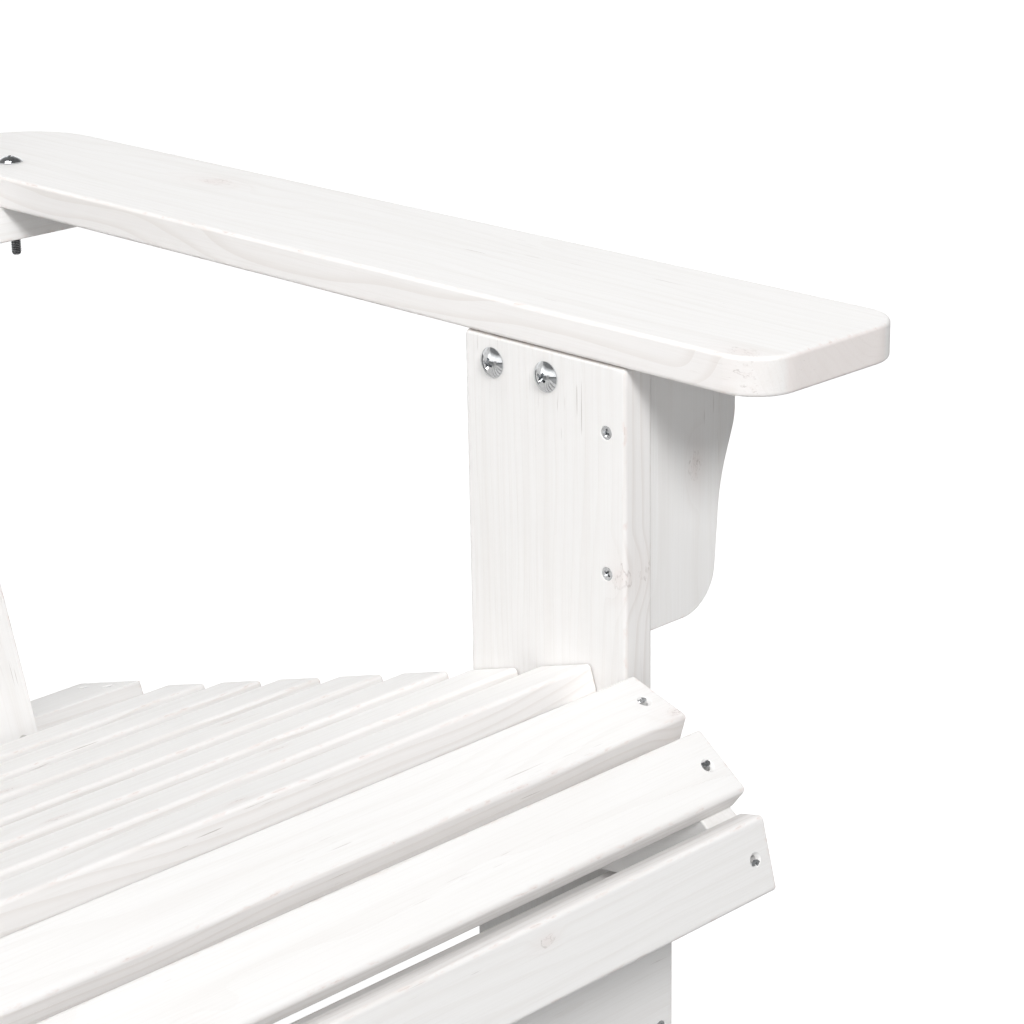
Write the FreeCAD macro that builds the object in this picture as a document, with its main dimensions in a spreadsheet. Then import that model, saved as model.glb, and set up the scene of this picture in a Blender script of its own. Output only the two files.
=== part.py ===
import FreeCAD, Part

"""Adirondack chair: a fixed wooden armchair in painted fir, held together with bolts and screws.

Frame: millimetres, +Z up, the chair faces -Y and +X is the sitter's left. The origin is on the
ground, midway between the sides and midway along the overall depth. Setbacks are measured
rearwards from the foremost line of the seat's nose, and heights from the ground.
"""

import os
import re

import Sketcher
from FreeCAD import Placement, Rotation, Vector

SIZES = (
    ("overall_depth", 883.0, "nose of the seat to the rear end of the side rails"),
    ("seat_width", 500.0, "length of every seat slat, and the clear width between the front legs"),
    ("arm_height", 545.0, "top of the armrests"),
    ("back_height", 706.0, "top of the middle back slat, measured up the back from its lower rail"),
    ("arris", 2.0, "rounding of the edges of the broad boards"),
    ("board_corner", 3.0, "rounding of the square corners of the broad boards"),
    # Armrests
    ("arm_thick", 18.0, "armrest thickness"),
    ("arm_width", 101.0, "armrest width"),
    ("arm_setback", 12.4, "front end of the armrest"),
    ("arm_length", 655.6, "armrest length"),
    ("arm_nose_round", 22.0, "both front corners of the armrest"),
    ("arm_tail_round", 55.0, "outer rear corner of the armrest"),
    # Front legs
    ("leg_thick", 18.0, "front leg thickness"),
    ("leg_width", 101.7, "front leg width"),
    ("leg_setback", 91.0, "front edge of the leg"),
    # Brackets under the armrests
    ("bracket_thick", 18.0, "bracket thickness"),
    ("bracket_setback", 2.5, "bracket's front face behind the leg's front edge"),
    ("bracket_width", 59.6, "bracket width under the armrest"),
    ("bracket_height", 130.0, "bracket height"),
    ("shoulder_drop", 40.0, "straight part of the bracket's outer edge"),
    ("shoulder_round", 30.0, "turn at the end of that straight part"),
    ("knee_drop", 69.0, "middle of the hollow below the armrest"),
    ("knee_width", 49.3, "bracket width at the hollow"),
    ("knee_round", 100.0, "radius of the hollow"),
    ("toe_width", 44.5, "bracket width at its foot"),
    ("toe_round", 22.0, "rounded foot of the bracket"),
    # Cleats that carry the armrests
    ("cleat_width", 24.0, "cleat width outside the leg"),
    ("cleat_height", 26.0, "cleat height under the armrest"),
    ("cleat_gap", 2.0, "gap between the bracket and the cleat"),
    # Side rails
    ("rail_thick", 20.0, "side rail thickness"),
    ("rail_depth", 140.0, "side rail depth square to the seat"),
    ("seat_slope", 17.7, "fall of the seat towards the back, in degrees"),
    ("crest_setback", 97.2, "highest point of the side rail"),
    ("crest_height", 371.4, "highest point of the side rail"),
    ("nose_upper_angle", 16.8, "fall of the first nose facet towards the front, in degrees"),
    ("nose_middle_angle", 36.7, "fall of the second nose facet, in degrees"),
    ("nose_lower_angle", 75.5, "fall of the third nose facet, in degrees"),
    ("belly_start", 115.0, "where the lower edge leaves the level nose"),
    ("belly_end", 330.0, "where the lower edge becomes parallel to the seat"),
    ("belly_front_round", 200.0, "upper sweep of the lower edge"),
    ("belly_rear_round", 300.0, "lower sweep of the lower edge"),
    ("rail_tail_round", 40.0, "upper rear corner of the side rail"),
    ("rail_heel_round", 30.0, "front of the side rail's foot"),
    ("rail_lip_round", 6.0, "small corners of the side rail"),
    # Seat and nose slats
    ("slat_width", 35.0, "seat slat width"),
    ("slat_thick", 14.5, "seat slat thickness"),
    ("slat_gap", 15.8, "gap between seat slats"),
    ("slat_round", 2.2, "rounding of a slat's long edges"),
    ("slat_end_round", 0.9, "light rounding of the slats' ends and of the smaller boards' edges"),
    ("first_slat_gap", 11.8, "crest to the first seat slat"),
    ("nose_upper_gap", 6.5, "crest to the upper nose slat"),
    ("nose_middle_gap", 3.4, "second facet's upper end to the middle nose slat"),
    ("nose_middle_tail", 6.1, "middle nose slat to the second facet's lower end"),
    ("nose_lower_rise", 2.5, "lower nose slat above the third facet's upper end"),
    ("nose_lip", 6.5, "rail below the lower nose slat"),
    # Front cross board
    ("front_rail_thick", 13.5, "front cross board thickness"),
    ("front_rail_height", 98.0, "front cross board height"),
    ("front_rail_drop", 7.0, "front cross board below the side rail's nose"),
    # Cross rails of the back
    ("cross_thick", 18.0, "thickness of the three rails that hold the back slats"),
    ("lower_rail_width", 60.0, "lower back rail width"),
    ("back_gap", 24.6, "last seat slat to the lower back rail"),
    ("arm_rail_width", 60.0, "rear arm rail width"),
    ("arm_rail_reach", 51.0, "rear arm rail beyond the armrest's inner edge"),
    ("upper_rail_width", 60.0, "upper back rail width"),
    ("upper_rail_reach", 8.0, "upper back rail past its outermost screws"),
    ("upper_rail_place", 560.0, "middle of the upper back rail, measured up the back"),
    ("upper_rail_round", 12.0, "corners of the upper back rail"),
    # Back slats
    ("recline", 21.7, "lean of the back from the vertical, in degrees"),
    ("back_slat_width", 62.0, "back slat width"),
    ("back_slat_thick", 14.0, "back slat thickness"),
    ("back_slat_gap", 7.75, "gap between back slats at the lower rail"),
    ("back_slat_tail", 45.0, "back slat below the lower rail's top edge"),
    ("fan_step", 1.3, "lean of each back slat from the next, in degrees"),
    ("arch_radius", 380.0, "radius of the line of the back slats' tops"),
    ("back_slat_round", 12.0, "top corners of a back slat"),
    # M6 bolts, nuts and inserts
    ("bolt_size", 6.0, "bolt shank"),
    ("bolt_head", 14.5, "domed bolt head"),
    ("bolt_head_height", 3.6, "domed bolt head height"),
    ("bolt_tail", 3.0, "bolt end past its nut"),
    ("nut_flats", 10.0, "hexagon nut across flats"),
    ("nut_height", 5.0, "hexagon nut height"),
    ("insert_size", 9.0, "threaded insert"),
    ("insert_length", 14.0, "threaded insert length"),
    ("arm_bolt_setback", 48.6, "first arm bolt behind the leg's front edge"),
    ("arm_bolt_pitch", 34.5, "distance between the two arm bolts of a leg"),
    ("leg_bolt_gap", 11.0, "first seat bolt behind the bracket, so that its head clears the bracket"),
    ("leg_bolt_pitch", 45.0, "distance between the two seat bolts of a leg"),
    ("leg_bolt_drop", 50.0, "seat bolts below the side rail's top edge"),
    ("rear_bolt_inset", 26.0, "rear arm bolt from the armrest's inner edge"),
    ("rear_bolt_setback", 29.0, "rear arm bolt behind the rear arm rail's front edge"),
    ("rear_bolt_tail", 17.0, "rear arm bolt below the rear arm rail"),
    # Countersunk screws and brads
    ("screw_size", 3.5, "screw shank"),
    ("screw_head", 7.0, "countersunk screw head"),
    ("bracket_screw_drop", 31.8, "upper bracket screw below the armrest"),
    ("bracket_screw_pitch", 67.0, "distance between the two bracket screws"),
    ("bracket_screw_length", 45.0, "bracket screw length"),
    ("cleat_screw_setback", 12.0, "first cleat screw behind the cleat's front end"),
    ("cleat_screw_pitch", 31.0, "distance between the two cleat screws"),
    ("cleat_screw_length", 38.0, "cleat screw length"),
    ("nose_screw_length", 35.0, "nose slat screw length"),
    ("front_screw_drop", 26.0, "upper front board screw below the board's top"),
    ("front_screw_pitch", 60.0, "distance between the two front board screws"),
    ("front_screw_length", 40.0, "front board screw length"),
    ("lower_screw_setback", 18.0, "first lower rail screw behind the rail's front edge"),
    ("lower_screw_pitch", 24.0, "distance between the two lower rail screws"),
    ("lower_screw_length", 48.0, "lower rail screw length"),
    ("back_screw_inset", 10.0, "back screw from the slat's edge"),
    ("back_screw_length", 30.0, "back screw length"),
    ("brad_size", 1.8, "seat slat brad"),
    ("brad_length", 38.0, "seat slat brad length"),
    ("brad_set", 1.2, "brad head below the slat's face, under filler"),
    # Clearances
    ("hole_clearance", 0.15, "radial clearance of a hole round its fastener"),
    ("tip_clearance", 0.6, "depth of a blind hole past its fastener"),
)
SEAT_SLATS = 7
BACK_SLATS = 5
OUTPUT = "parts"

# How a board's drawing plane lies in the chair: its normal is the board's thickness.
PLAN = Rotation()
SIDE = Rotation(Vector(1, 1, 1), 120)
FRONT = Rotation(Vector(1, 0, 0), 90)

document = FreeCAD.newDocument("adirondack_chair")
sheet = document.addObject("Spreadsheet::Sheet", "Sizes")
for row, (alias, size, meaning) in enumerate(SIZES, start=1):
    sheet.set(f"A{row}", meaning)
    sheet.set(f"B{row}", str(size))
    sheet.setAlias(f"B{row}", alias)
document.recompute()
ALIASES = {alias for alias, _, _ in SIZES}
sub_parts = []


def sized(text):
    """The expression with every size read from the sheet."""
    return re.sub(
        r"[a-z][a-z_]+", lambda word: f"Sizes.{word[0]}" if word[0] in ALIASES else word[0], text
    )


def value(text):
    """The number that an expression of sizes comes to."""
    return float(sheet.evalExpression(sized(text)))


# ---------------------------------------------------------------- places shared by several pieces

LEG_INNER = "(seat_width / 2)"
LEG_OUTER = "(seat_width / 2 + leg_thick)"
ARM_UNDER = "(arm_height - arm_thick)"
RAIL_MIDDLE = "(seat_width / 2 - rail_thick / 2)"
CLEAT_MIDDLE = "(seat_width / 2 + leg_thick + cleat_width / 2)"
BRACKET_MIDDLE = "(leg_setback + bracket_setback + bracket_thick / 2)"
BRACKET_REAR = "(leg_setback + bracket_setback + bracket_thick)"
CLEAT_FRONT = f"({BRACKET_REAR} + cleat_gap)"
REARWARD = "+"
FORWARD = "-"


def walk(point, angle, ahead, out, way):
    """A side-view point reached by going down a slope and then square out from it."""
    y = f"({point[0]} {way} (({ahead}) * cos({angle}) + ({out}) * sin({angle})))"
    z = f"({point[1]} - ({ahead}) * sin({angle}) + ({out}) * cos({angle}))"
    return y, z


CREST = ("crest_setback", "crest_height")
FACET_UPPER_END = walk(CREST, "nose_upper_angle", "nose_upper_gap + slat_width", "0", FORWARD)
MIDDLE_FACET = "nose_middle_gap + slat_width + nose_middle_tail"
FACET_MIDDLE_END = walk(FACET_UPPER_END, "nose_middle_angle", MIDDLE_FACET, "0", FORWARD)
LOWER_FACET = "slat_width - nose_lower_rise + nose_lip"
NOSE_TOE = walk(FACET_MIDDLE_END, "nose_lower_angle", LOWER_FACET, "0", FORWARD)
SEAT_RUN = f"(first_slat_gap + {SEAT_SLATS} * slat_width + {SEAT_SLATS - 1} * slat_gap + back_gap)"
BACK_FOOT = walk(CREST, "seat_slope", SEAT_RUN, "cross_thick", REARWARD)
FRONT_RAIL_TOP = f"({NOSE_TOE[1]} - front_rail_drop)"


def rail_edge(setback, below):
    """Height of a line parallel to the seat, a distance square below the side rail's top edge."""
    return f"(crest_height - ({setback} - crest_setback) * tan(seat_slope) - ({below}) / cos(seat_slope))"


def up_the_back(distance, behind):
    """Side-view point up the back from the lower rail, and square behind the slats' rear faces."""
    y = f"({BACK_FOOT[0]} + ({distance}) * sin(recline) + ({behind}) * cos(recline))"
    z = f"({BACK_FOOT[1]} + ({distance}) * cos(recline) - ({behind}) * sin(recline))"
    return y, z


def back_at_height(height):
    """Setback of the back slats' rear faces at a height."""
    return f"({BACK_FOOT[0]} + ({height} - {BACK_FOOT[1]}) * tan(recline))"


ARM_RAIL_FRONT = back_at_height("(arm_height - arm_thick - cross_thick / 2)")


# ---------------------------------------------------------------- boards


def outline(body, corners):
    """A closed, fully constrained sketch through the corners, each a pair of expressions."""
    sketch = body.newObject("Sketcher::SketchObject", "Outline")
    plane = next(part for part in body.Origin.OriginFeatures if part.Role == "XY_Plane")
    sketch.AttachmentSupport = [(plane, "")]
    sketch.MapMode = "FlatFace"
    points = [Vector(value(x), value(y), 0) for x, y in corners]
    count = len(points)
    for index, point in enumerate(points):
        sketch.addGeometry(Part.LineSegment(point, points[(index + 1) % count]), False)
    for index in range(count):
        sketch.addConstraint(Sketcher.Constraint("Coincident", index, 2, (index + 1) % count, 1))
    for index, (x, y) in enumerate(corners):
        for kind, expression, place in (("DistanceX", x, points[index].x), ("DistanceY", y, points[index].y)):
            constraint = sketch.addConstraint(Sketcher.Constraint(kind, index, 1, place))
            sketch.setExpression(f"Constraints[{constraint}]", sized(expression))
    return sketch


def round_corners(body, pad, corners, rounds):
    """Round the corners of the outline, the corners of one radius in one fillet."""
    feature = pad
    for radius in sorted(set(rounds) - {None}):
        places = [
            Vector(value(x), value(y), 0)
            for (x, y), corner_radius in zip(corners, rounds)
            if corner_radius == radius
        ]
        names = []
        for number, edge in enumerate(feature.Shape.Edges, start=1):
            ends = [vertex.Point for vertex in edge.Vertexes]
            upright = len(ends) == 2 and abs(ends[0].z - ends[1].z) > 1e-6
            if upright and any(Vector(ends[0].x, ends[0].y, 0).isEqual(place, 1e-4) for place in places):
                names.append(f"Edge{number}")
        fillet = body.newObject("PartDesign::Fillet", "Corners")
        fillet.Base = (feature, names)
        fillet.setExpression("Radius", sized(radius))
        document.recompute()
        feature = fillet
    return feature


def round_arrises(body, feature, radius):
    """Round the edges all along the outline, on both faces of the board."""
    shape = feature.Shape
    heights = (shape.BoundBox.ZMin, shape.BoundBox.ZMax)
    names = []
    for number, edge in enumerate(shape.Edges, start=1):
        box = edge.BoundBox
        if box.ZLength < 1e-6 and any(abs(box.ZMin - height) < 1e-6 for height in heights):
            names.append(f"Edge{number}")
    fillet = body.newObject("PartDesign::Fillet", "Arrises")
    fillet.Base = (feature, names)
    fillet.setExpression("Radius", sized(radius))
    document.recompute()


def board(name, corners, rounds, thick, lie, base, arris="arris"):
    """A board blank: its outline padded by its thickness, rounded and put in its place."""
    body = document.addObject("PartDesign::Body", f"{name}_blank")
    sketch = outline(body, corners)
    pad = body.newObject("PartDesign::Pad", "Thickness")
    pad.Profile = sketch
    pad.setExpression("Length", sized(thick))
    document.recompute()
    round_arrises(body, round_corners(body, pad, corners, rounds), arris)
    body.Placement = Placement(Vector(), lie)
    for axis, place in zip("xyz", base):
        body.setExpression(f"Placement.Base.{axis}", sized(place))
    return body


def in_depth(setback):
    """Y of a setback, in the chair's frame."""
    return f"({setback} - overall_depth / 2)"


def rectangle(left, right, bottom, top):
    """Corners of an upright rectangle."""
    return [(left, bottom), (right, bottom), (right, top), (left, top)]


def drilled(name, blank, drills):
    """The finished board: the blank with the holes of its fasteners."""
    tools = document.addObject("Part::Compound", f"{name}_holes")
    tools.Links = drills
    cut = document.addObject("Part::Cut", name)
    cut.Base = blank
    cut.Tool = tools
    cut.Label = name
    sub_parts.append(cut)
    return cut


def pair(name, blank, drills):
    """A finished board on the sitter's left and its mirror image on the right."""
    left = drilled(f"{name}_left", blank, drills)
    right = document.addObject("Part::Mirroring", f"{name}_right")
    right.Source = left
    right.Base = Vector(0, 0, 0)
    right.Normal = Vector(1, 0, 0)
    right.Label = f"{name}_right"
    sub_parts.append(right)


# ---------------------------------------------------------------- fasteners


def spot(x, setback, height):
    """A place in the chair's frame."""
    return Vector(value(x), value(in_depth(setback)), value(height))


def both_sides(spots):
    """The spots on the sitter's left and their mirror images."""
    mirrored = [
        (Vector(-point.x, point.y, point.z), Vector(-way.x, way.y, way.z)) for point, way in spots
    ]
    return spots + mirrored


def shank(size, start, end):
    """A round shank along the axis, from a height down to another."""
    return Part.makeCylinder(size / 2, start - end, Vector(0, 0, end))


def screw(length):
    """A countersunk screw and its hole, head flush at the origin, pointing down."""
    size = value("screw_size")
    head = value("screw_head")
    seat = (head - size) / 2
    cone = Part.makeCone(size / 2, head / 2, seat, Vector(0, 0, -seat))
    solid = cone.fuse(shank(size, -seat, -length)).removeSplitter()
    hole_size = size + 2 * value("hole_clearance")
    hole = cone.fuse([shank(hole_size, -seat / 2, -length - value("tip_clearance")), shank(head, 1, 0)])
    return solid, hole.removeSplitter()


def bolt(length):
    """A domed bolt and its hole, head seated at the origin, pointing down."""
    size = value("bolt_size")
    radius = value("bolt_head") / 2
    height = value("bolt_head_height")
    sphere = (radius**2 + height**2) / (2 * height)
    shoulder = Vector(radius / 2, 0, height - sphere + (sphere**2 - radius**2 / 4) ** 0.5)
    profile = Part.Wire(
        [
            Part.makeLine(Vector(0, 0, 0), Vector(radius, 0, 0)),
            Part.Arc(Vector(radius, 0, 0), shoulder, Vector(0, 0, height)).toShape(),
            Part.makeLine(Vector(0, 0, height), Vector(0, 0, 0)),
        ]
    )
    head = Part.Face(profile).revolve(Vector(), Vector(0, 0, 1), 360)
    solid = head.fuse(shank(size, 0, -length)).removeSplitter()
    return solid, shank(size + 2 * value("hole_clearance"), 1, -length - value("tip_clearance"))


def nut():
    """A hexagon nut that starts at the origin and points down."""
    flats = value("nut_flats")
    height = value("nut_height")
    ring = Part.makeCircle(flats / 3**0.5)
    corners = ring.discretize(7)
    solid = Part.Face(Part.makePolygon(corners)).extrude(Vector(0, 0, -height))
    return solid.cut(shank(value("bolt_size") + 2 * value("hole_clearance"), 1, -height - 1))


def insert():
    """A threaded insert and its socket, mouth at the origin, pointing down."""
    size = value("insert_size")
    length = value("insert_length")
    bore = shank(value("bolt_size") + 2 * value("hole_clearance"), 1, -length - 1)
    return shank(size, 0, -length).cut(bore), shank(size, 1, -length)


def brad():
    """A headless brad and its hole, top at the origin, pointing down."""
    size = value("brad_size")
    length = value("brad_length")
    clearance = value("hole_clearance")
    hole = shank(size + 2 * clearance, 0, -length - value("tip_clearance"))
    return shank(size, 0, -length), hole


def placed(shape, spots):
    """One copy of a shape at every spot, each a place and the way that it points."""
    copies = []
    for point, way in spots:
        copy = shape.copy()
        copy.Placement = Placement(point, Rotation(Vector(0, 0, -1), way))
        copies.append(copy)
    return Part.makeCompound(copies)


def fastened(name, solid, spots):
    """Identical fasteners as one sub-part."""
    group = document.addObject("Part::Feature", name)
    group.Shape = placed(solid, spots)
    group.Placement = Placement()
    group.Label = name
    sub_parts.append(group)


def holes_for(name, hole, spots):
    """The holes that the same fasteners need."""
    tool = document.addObject("Part::Feature", f"{name}_drill")
    tool.Shape = placed(hole, spots)
    return tool


def fasten(name, shapes, spots):
    """Identical fasteners as one sub-part, and the holes that they need."""
    solid, hole = shapes
    fastened(name, solid, spots)
    return holes_for(name, hole, spots)


OUTWARD = Vector(1, 0, 0)
INWARD = Vector(-1, 0, 0)
DOWN = Vector(0, 0, -1)
UP = Vector(0, 0, 1)
BACKWARD = Vector(0, 1, 0)


def square_into(angle, way):
    """Direction straight into a facet that falls by an angle."""
    tilt = 1 if way == REARWARD else -1
    return Vector(0, -tilt * value(f"sin({angle})"), -value(f"cos({angle})"))


def arm_bolts():
    """Two bolts from the inside of each leg into the cleat under the armrest, with their nuts."""
    height = "arm_height - arm_thick - cleat_height / 2"
    setbacks = [f"leg_setback + arm_bolt_setback + {turn} * arm_bolt_pitch" for turn in range(2)]
    heads = [(spot(LEG_INNER, setback, height), OUTWARD) for setback in setbacks]
    ends = [(spot(f"{LEG_OUTER} + cleat_width", setback, height), OUTWARD) for setback in setbacks]
    fastened("arm_bolt_nuts", nut(), both_sides(ends))
    length = value("leg_thick + cleat_width + nut_height + bolt_tail")
    return fasten("arm_bolts", bolt(length), both_sides(heads))


def seat_bolts():
    """Two bolts from the outside of each leg through the side rail, with their nuts."""
    heads = []
    ends = []
    for turn in range(2):
        setback = f"({BRACKET_REAR} + leg_bolt_gap + {turn} * leg_bolt_pitch)"
        height = rail_edge(setback, "leg_bolt_drop * cos(seat_slope)")
        heads.append((spot(LEG_OUTER, setback, height), INWARD))
        ends.append((spot(f"{LEG_INNER} - rail_thick", setback, height), INWARD))
    fastened("seat_bolt_nuts", nut(), both_sides(ends))
    length = value("leg_thick + rail_thick + nut_height + bolt_tail")
    return fasten("seat_bolts", bolt(length), both_sides(heads))


def rear_arm_bolts():
    """A bolt down through each armrest into a threaded insert in the rear arm rail."""
    across = f"{LEG_INNER} + rear_bolt_inset"
    setback = f"{ARM_RAIL_FRONT} + rear_bolt_setback"
    heads = both_sides([(spot(across, setback, "arm_height"), DOWN)])
    mouths = both_sides([(spot(across, setback, f"{ARM_UNDER} - cross_thick"), UP)])
    ring, socket = insert()
    fastened("rear_arm_inserts", ring, mouths)
    length = value("arm_thick + cross_thick + rear_bolt_tail")
    drill = fasten("rear_arm_bolts", bolt(length), heads)
    return drill, holes_for("rear_arm_inserts", socket, mouths)


def bracket_screws():
    """Two screws from the inside of each leg into the bracket's edge."""
    heights = [f"{ARM_UNDER} - bracket_screw_drop - {turn} * bracket_screw_pitch" for turn in range(2)]
    spots = [(spot(LEG_INNER, BRACKET_MIDDLE, height), OUTWARD) for height in heights]
    return fasten("bracket_screws", screw(value("bracket_screw_length")), both_sides(spots))


def cleat_screws():
    """Two screws up through each cleat into the armrest."""
    spots = []
    for turn in range(2):
        setback = f"{CLEAT_FRONT} + cleat_screw_setback + {turn} * cleat_screw_pitch"
        spots.append((spot(CLEAT_MIDDLE, setback, f"{ARM_UNDER} - cleat_height"), UP))
    return fasten("cleat_screws", screw(value("cleat_screw_length")), both_sides(spots))


def nose_screws():
    """One screw through each end of each nose slat into the side rail."""
    spots = []
    for start, angle, gap in NOSE_SLATS.values():
        setback, height = walk(start, angle, f"{gap} + slat_width / 2", "slat_thick", FORWARD)
        spots.append((spot(RAIL_MIDDLE, setback, height), square_into(angle, FORWARD)))
    return fasten("nose_slat_screws", screw(value("nose_screw_length")), both_sides(spots))


def seat_brads():
    """One brad through each end of each seat slat into the side rail, set and filled over."""
    spots = []
    for number in range(SEAT_SLATS):
        ahead = f"first_slat_gap + {number} * (slat_width + slat_gap) + slat_width / 2"
        setback, height = walk(CREST, "seat_slope", ahead, "slat_thick - brad_set", REARWARD)
        spots.append((spot(RAIL_MIDDLE, setback, height), square_into("seat_slope", REARWARD)))
    return fasten("seat_slat_brads", brad(), both_sides(spots))


def front_screws():
    """Two screws through each end of the front cross board into the leg's front edge."""
    spots = []
    for turn in range(2):
        height = f"{FRONT_RAIL_TOP} - front_screw_drop - {turn} * front_screw_pitch"
        across = f"{LEG_INNER} + leg_thick / 2"
        spots.append((spot(across, "leg_setback - front_rail_thick", height), BACKWARD))
    return fasten("front_rail_screws", screw(value("front_screw_length")), both_sides(spots))


def lower_rail_screws():
    """Two screws down through each end of the lower back rail into the side rail."""
    spots = []
    for turn in range(2):
        ahead = f"{SEAT_RUN} + lower_screw_setback + {turn} * lower_screw_pitch"
        setback, height = walk(CREST, "seat_slope", ahead, "cross_thick", REARWARD)
        spots.append((spot(RAIL_MIDDLE, setback, height), square_into("seat_slope", REARWARD)))
    return fasten("back_lower_rail_screws", screw(value("lower_screw_length")), both_sides(spots))


def back_screws(rail, distance):
    """Two screws through each back slat into a rail, at a distance up the back."""
    setback, height = up_the_back(distance, "-back_slat_thick")
    into = Vector(0, value("cos(recline)"), -value("sin(recline)"))
    spots = []
    for place in range(BACK_SLATS):
        for side in ("-", "+"):
            edge = f"{side} (back_slat_width / 2 - back_screw_inset)"
            across = f"{slat_middle(place)} {edge} + ({distance}) * tan({slat_lean(place)})"
            spots.append((spot(across, setback, height), into))
    return fasten(f"back_screws_{rail}", screw(value("back_screw_length")), spots)


def slat_lean(place):
    """Lean of a back slat to the side, in degrees."""
    return f"({place - BACK_SLATS // 2} * fan_step)"


def slat_middle(place):
    """Middle of a back slat at the lower back rail."""
    return f"({place - BACK_SLATS // 2} * (back_slat_width + back_slat_gap))"


# ---------------------------------------------------------------- the pieces


def side_rail_outline():
    """Faceted nose, straight top edge, swept lower edge and a flat foot on the ground."""
    end = "overall_depth"
    heel = "(crest_setback + (crest_height - rail_depth / cos(seat_slope)) / tan(seat_slope))"
    corners = [
        (CREST, "board_corner"),
        (FACET_UPPER_END, "rail_lip_round"),
        (FACET_MIDDLE_END, "rail_lip_round"),
        (NOSE_TOE, "rail_lip_round"),
        (("belly_start", NOSE_TOE[1]), "belly_front_round"),
        (("belly_end", rail_edge("belly_end", "rail_depth")), "belly_rear_round"),
        ((heel, "0"), "rail_heel_round"),
        ((end, "0"), "rail_lip_round"),
        ((end, rail_edge(end, "0")), "rail_tail_round"),
    ]
    return [corner for corner, _ in corners], [radius for _, radius in corners]


def slat_outline(start, angle, gap, way):
    """End view of a slat that lies on a slope, a gap below the slope's start."""
    far = f"{gap} + slat_width"
    steps = ((gap, "0"), (far, "0"), (far, "slat_thick"), (gap, "slat_thick"))
    return [walk(start, angle, ahead, out, way) for ahead, out in steps]


def slat(name, corners, drill):
    """A seat slat, the full width of the seat."""
    base = (f"-{LEG_INNER}", in_depth("0"), "0")
    blank = board(name, corners, ["slat_round"] * 4, "seat_width", SIDE, base, "slat_end_round")
    drilled(name, blank, [drill])


def arch(across):
    """Height of the line of the tops at a distance from the middle, measured up the back."""
    return f"(back_height - arch_radius + sqrt(arch_radius ^ 2 - ({across}) ^ 2))"


def back_slat_outline(place):
    """A back slat in the plane of the back: it leans to its side and its top follows the arch."""
    lean = slat_lean(place)
    corners = []
    for side, at_top in (("-", False), ("+", False), ("+", True), ("-", True)):
        edge = f"{slat_middle(place)} {side} back_slat_width / 2 / cos({lean})"
        up = arch(f"{edge} + back_height * tan({lean})") if at_top else "(-back_slat_tail)"
        corners.append((f"{edge} + {up} * tan({lean})", up))
    return corners


NOSE_SLATS = {
    "nose_slat_upper": (CREST, "nose_upper_angle", "nose_upper_gap"),
    "nose_slat_middle": (FACET_UPPER_END, "nose_middle_angle", "nose_middle_gap"),
    "nose_slat_lower": (FACET_MIDDLE_END, "nose_lower_angle", "(-nose_lower_rise)"),
}
SQUARE = ["board_corner"] * 4

arm_drill = arm_bolts()
seat_drill = seat_bolts()
rear_drill, insert_drill = rear_arm_bolts()
bracket_drill = bracket_screws()
cleat_drill = cleat_screws()
nose_drill = nose_screws()
brad_drill = seat_brads()
front_drill = front_screws()
lower_drill = lower_rail_screws()
back_drills = {
    "lower": back_screws("lower", "-cross_thick / 2"),
    "middle": back_screws(
        "middle", f"(arm_height - arm_thick - cross_thick / 2 - {BACK_FOOT[1]}) / cos(recline)"
    ),
    "upper": back_screws("upper", "upper_rail_place"),
}

leg = board(
    "front_leg",
    rectangle("leg_setback", "leg_setback + leg_width", "0", ARM_UNDER),
    SQUARE,
    "leg_thick",
    SIDE,
    (LEG_INNER, in_depth("0"), "0"),
)
pair("front_leg", leg, [arm_drill, seat_drill, bracket_drill, front_drill])

arm = board(
    "armrest",
    rectangle("0", "arm_width", "0", "arm_length"),
    ["arm_nose_round", "arm_nose_round", "arm_tail_round", "board_corner"],
    "arm_thick",
    PLAN,
    (LEG_INNER, in_depth("arm_setback"), ARM_UNDER),
)
pair("armrest", arm, [cleat_drill, rear_drill])

bracket = board(
    "arm_bracket",
    [
        ("0", "-bracket_height"),
        ("toe_width", "-bracket_height"),
        ("knee_width", "-knee_drop"),
        ("bracket_width", "-shoulder_drop"),
        ("bracket_width", "0"),
        ("0", "0"),
    ],
    ["board_corner", "toe_round", "knee_round", "shoulder_round", None, None],
    "bracket_thick",
    FRONT,
    (LEG_OUTER, in_depth(BRACKET_REAR), ARM_UNDER),
    "slat_end_round",
)
pair("arm_bracket", bracket, [bracket_drill])

cleat = board(
    "arm_cleat",
    rectangle("0", "cleat_width", CLEAT_FRONT, "leg_setback + leg_width"),
    SQUARE,
    "cleat_height",
    PLAN,
    (LEG_OUTER, in_depth("0"), f"{ARM_UNDER} - cleat_height"),
    "slat_end_round",
)
pair("arm_cleat", cleat, [arm_drill, cleat_drill])

rail_corners, rail_rounds = side_rail_outline()
rail_base = (f"{LEG_INNER} - rail_thick", in_depth("0"), "0")
side_rail = board("side_rail", rail_corners, rail_rounds, "rail_thick", SIDE, rail_base, "slat_end_round")
pair("side_rail", side_rail, [seat_drill, nose_drill, brad_drill, lower_drill])

front_rail = board(
    "front_rail",
    rectangle(f"-{LEG_OUTER}", LEG_OUTER, f"{FRONT_RAIL_TOP} - front_rail_height", FRONT_RAIL_TOP),
    SQUARE,
    "front_rail_thick",
    FRONT,
    ("0", in_depth("leg_setback"), "0"),
)
drilled("front_rail", front_rail, [front_drill])

for slat_number in range(SEAT_SLATS):
    slat_start = f"(first_slat_gap + {slat_number} * (slat_width + slat_gap))"
    seat_corners = slat_outline(CREST, "seat_slope", slat_start, REARWARD)
    slat(f"seat_slat_{slat_number + 1}", seat_corners, brad_drill)

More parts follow.
